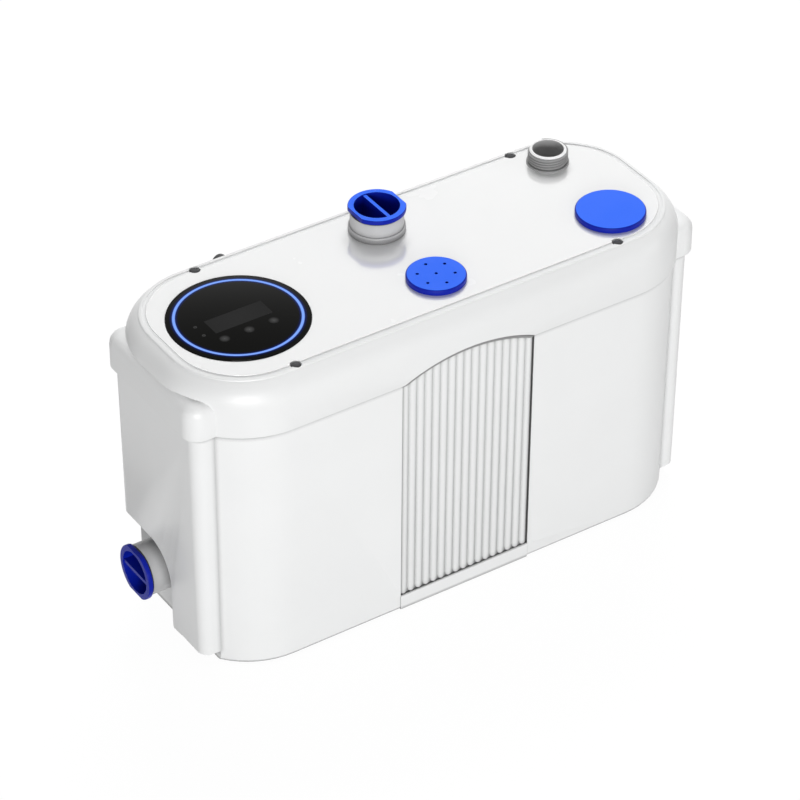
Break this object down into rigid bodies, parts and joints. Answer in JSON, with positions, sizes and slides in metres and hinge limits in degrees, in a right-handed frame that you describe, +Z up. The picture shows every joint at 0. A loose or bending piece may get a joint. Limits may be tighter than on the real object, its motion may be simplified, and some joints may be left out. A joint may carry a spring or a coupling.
{
  "type": "macerator toilet pump",
  "caption": "Macerator pump for a toilet: skirted lid with a round control glass, drafted tank with a fluted front, spigots with blue caps, and a sealed motor and cutter.",
  "frame": {"origin": "middle of the overall box on the floor", "axes": "+X to the right as seen from the front, towards the pressure outlet, +Y to the rear, towards the toilet inlet, +Z up"},
  "size_m": [0.496, 0.208, 0.2978],
  "materials": {
    "shell_white": "moulded, semi-gloss",
    "plate_white": "smooth, semi-gloss",
    "fitting_grey": "moulded, satin",
    "cap_blue": "moulded, semi-gloss",
    "screw_grey": "dark cap",
    "black_glass": "polished black glass",
    "light_blue": "lit light guide",
    "display_grey": "smoked window",
    "key_grey": "backlit key",
    "led_grey": "small lamp",
    "black_rubber": "matt",
    "grey_rubber": "matt",
    "dark_plastic": "satin",
    "pump_grey": "glass filled, matt",
    "charcoal": "granular",
    "board_green": "solder mask",
    "bare_aluminium": "drawn",
    "cast_aluminium": "cast, blasted",
    "winding_copper": "lacquered winding and laminations",
    "plain_steel": "plated",
    "bright_steel": "stainless"
  },
  "bodies": {
    "housing": {"tank": "shell_white", "lid": "shell_white", "cover_plate": "plate_white", "rear_inlet_spigot": "shell_white", "lid_gasket": "black_rubber", "cover_screws": "screw_grey", "feet": "grey_rubber", "top_inlet_spigot": "fitting_grey", "outlet_nipple": "fitting_grey", "lock_rings": "dark_plastic", "vent_cup": "fitting_grey", "access_spigot": "fitting_grey", "side_inlet_spigot_left": "fitting_grey", "side_inlet_spigot_right": "fitting_grey", "control_box": "fitting_grey", "level_tube": "fitting_grey", "top_cap_seal": "black_rubber", "side_cap_seal_left": "black_rubber", "side_cap_seal_right": "black_rubber", "vent_filter": "charcoal", "rear_inlet_boot": "grey_rubber", "cable_gland": "dark_plastic", "control_glass": "black_glass", "light_ring": "light_blue", "display_window": "display_grey", "touch_keys": "key_grey", "indicator_leds": "led_grey", "control_board": "board_green", "capacitor": "bare_aluminium", "pressure_sensor": "dark_plastic", "motor_housing": "cast_aluminium", "motor_top_cap": "cast_aluminium", "stator": "winding_copper", "upper_bearing": "bright_steel", "lower_bearing": "bright_steel", "shaft_seal": "black_rubber", "motor_bracket": "plain_steel", "motor_dampers": "black_rubber", "bracket_screws": "bright_steel", "volute": "pump_grey", "suction_plate": "pump_grey", "strainer_basket": "bright_steel", "discharge_hose": "black_rubber", "check_valve_body": "pump_grey", "valve_pin": "bright_steel"},
    "rotor": {"rotor_core": "plain_steel", "drive_shaft": "bright_steel", "impeller": "dark_plastic", "macerator_blade": "bright_steel", "blade_nut": "bright_steel"},
    "flap": {"check_valve_flap": "black_rubber"},
    "top_cap": {"top_inlet_cap": "cap_blue"},
    "vent_lid": {"vent_cap": "cap_blue"},
    "blank_lid": {"blank_cap": "cap_blue"},
    "left_cap": {"side_cap_left": "cap_blue"},
    "right_cap": {"side_cap_right": "cap_blue"}
  },
  "joints": [
    {"name": "rotor_spin", "type": "hinge", "parent": "housing", "child": "rotor", "pos_m": [0, -0.034, 0.1], "axis": [0, 0, 1], "continuous": true},
    {"name": "flap_swing", "type": "hinge", "parent": "housing", "child": "flap", "pos_m": [0.186, 0.0358, 0.1842], "axis": [0, 1, 0], "range_deg": [0, 65]},
    {"name": "top_cap_lift", "type": "slide", "parent": "housing", "child": "top_cap", "axis": [0, 0, 1], "range_m": [0, 0.04]},
    {"name": "vent_cap_lift", "type": "slide", "parent": "housing", "child": "vent_lid", "axis": [0, 0, 1], "range_m": [0, 0.03]},
    {"name": "blank_cap_lift", "type": "slide", "parent": "housing", "child": "blank_lid", "axis": [0, 0, 1], "range_m": [0, 0.03]},
    {"name": "left_cap_pull", "type": "slide", "parent": "housing", "child": "left_cap", "axis": [-1, 0, 0], "range_m": [0, 0.04]},
    {"name": "right_cap_pull", "type": "slide", "parent": "housing", "child": "right_cap", "axis": [1, 0, 0], "range_m": [0, 0.04]}
  ]
}
